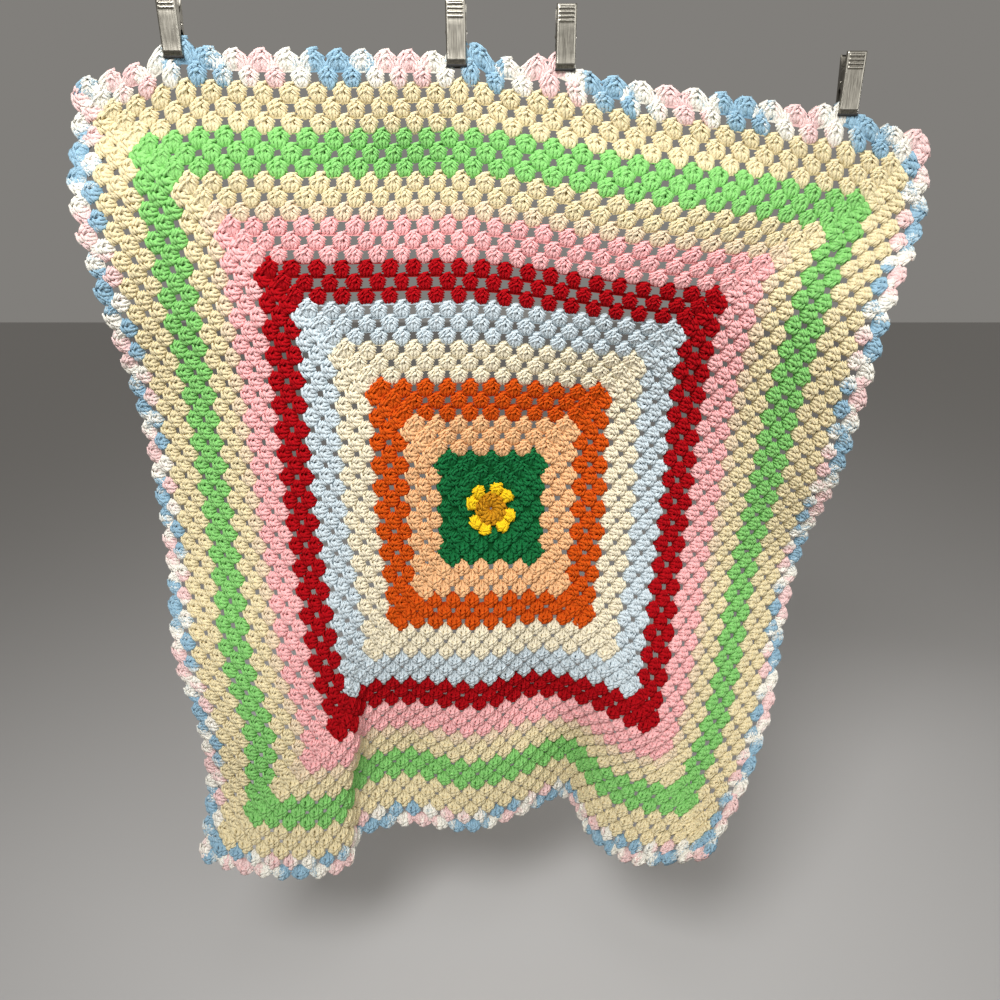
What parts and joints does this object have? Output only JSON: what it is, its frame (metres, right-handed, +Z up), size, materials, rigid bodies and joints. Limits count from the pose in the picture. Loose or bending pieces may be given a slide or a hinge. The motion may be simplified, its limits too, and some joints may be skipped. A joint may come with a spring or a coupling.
{
  "type": "crochet afghan hung on clips",
  "caption": "Granny-square crochet afghan in bright bands with a scalloped edging, hung in soft folds from spring clips.",
  "frame": {"origin": "in the hanging plane, midway across the afghan, level with the highest clip's top", "axes": "+X to the viewer's right, +Y away from the viewer, +Z up"},
  "size_m": [0.9516, 0.2001, 1.0908],
  "materials": {
    "mustard_yarn": "matte plied acrylic yarn",
    "yellow_yarn": "matte plied acrylic yarn",
    "dark_green_yarn": "matte plied acrylic yarn",
    "peach_yarn": "matte plied acrylic yarn",
    "orange_yarn": "matte plied acrylic yarn",
    "cream_yarn": "matte plied acrylic yarn",
    "pale_blue_yarn": "matte plied acrylic yarn",
    "red_yarn": "matte plied acrylic yarn",
    "pink_yarn": "matte plied acrylic yarn",
    "pale_cream_yarn": "matte plied acrylic yarn",
    "straw_yarn": "matte plied acrylic yarn",
    "bright_green_yarn": "matte plied acrylic yarn",
    "variegated_yarn": "matte plied acrylic yarn",
    "clip_steel": "brushed pewter plating",
    "spring_steel": "bright drawn wire"
  },
  "bodies": {
    "root": {"afghan": "variegated_yarn", "clip_1_front_jaw": "clip_steel", "clip_1_back_jaw": "clip_steel", "clip_1_spring": "spring_steel", "clip_2_front_jaw": "clip_steel", "clip_2_back_jaw": "clip_steel", "clip_2_spring": "spring_steel", "clip_3_front_jaw": "clip_steel", "clip_3_back_jaw": "clip_steel", "clip_3_spring": "spring_steel", "clip_4_front_jaw": "clip_steel", "clip_4_back_jaw": "clip_steel", "clip_4_spring": "spring_steel"}
  },
  "joints": []
}
